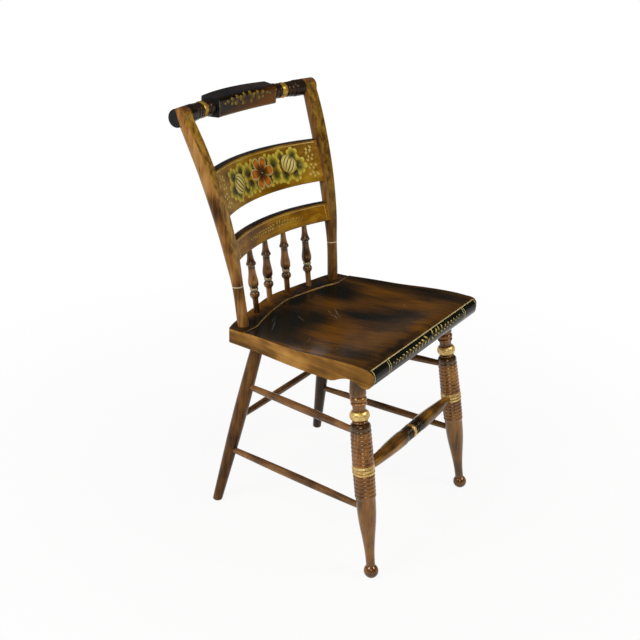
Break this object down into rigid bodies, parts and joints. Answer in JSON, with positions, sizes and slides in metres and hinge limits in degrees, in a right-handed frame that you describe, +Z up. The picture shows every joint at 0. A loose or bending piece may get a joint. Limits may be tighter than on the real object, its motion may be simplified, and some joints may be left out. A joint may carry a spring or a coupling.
{
  "type": "side chair",
  "caption": "Painted and stencilled plank-seat side chair with turned legs, bent back posts, a pillow-block crest rail, bent slats and short spindles.",
  "frame": {"origin": "middle of the bounding box, at floor level under the feet", "axes": "+Z up; the chair faces -Y; +X is to the right of someone who looks at its front"},
  "size_m": [0.4384, 0.5386, 0.8597],
  "materials": {
    "walnut_finish": "walnut-stained maple under gloss varnish, with gold paint and stencilling",
    "dark_crest_finish": "dark brown painted maple under gloss varnish, with gold paint",
    "seat_finish": "worn blackish-brown painted pine under varnish"
  },
  "bodies": {
    "root": {"seat_board_1": "seat_finish", "seat_board_2": "seat_finish", "seat_board_3": "seat_finish", "seat_board_4": "seat_finish", "front_leg_left": "walnut_finish", "front_leg_right": "walnut_finish", "rear_leg_left": "walnut_finish", "rear_leg_right": "walnut_finish", "upper_side_stretcher_left": "walnut_finish", "upper_side_stretcher_right": "walnut_finish", "lower_side_stretcher_left": "walnut_finish", "lower_side_stretcher_right": "walnut_finish", "rear_stretcher": "walnut_finish", "front_stretcher": "walnut_finish", "back_post_left": "walnut_finish", "back_post_right": "walnut_finish", "wide_slat": "walnut_finish", "lower_slat": "walnut_finish", "outer_spindle_left": "walnut_finish", "outer_spindle_right": "walnut_finish", "inner_spindle_left": "walnut_finish", "inner_spindle_right": "walnut_finish", "crest_rail": "dark_crest_finish"}
  },
  "joints": []
}
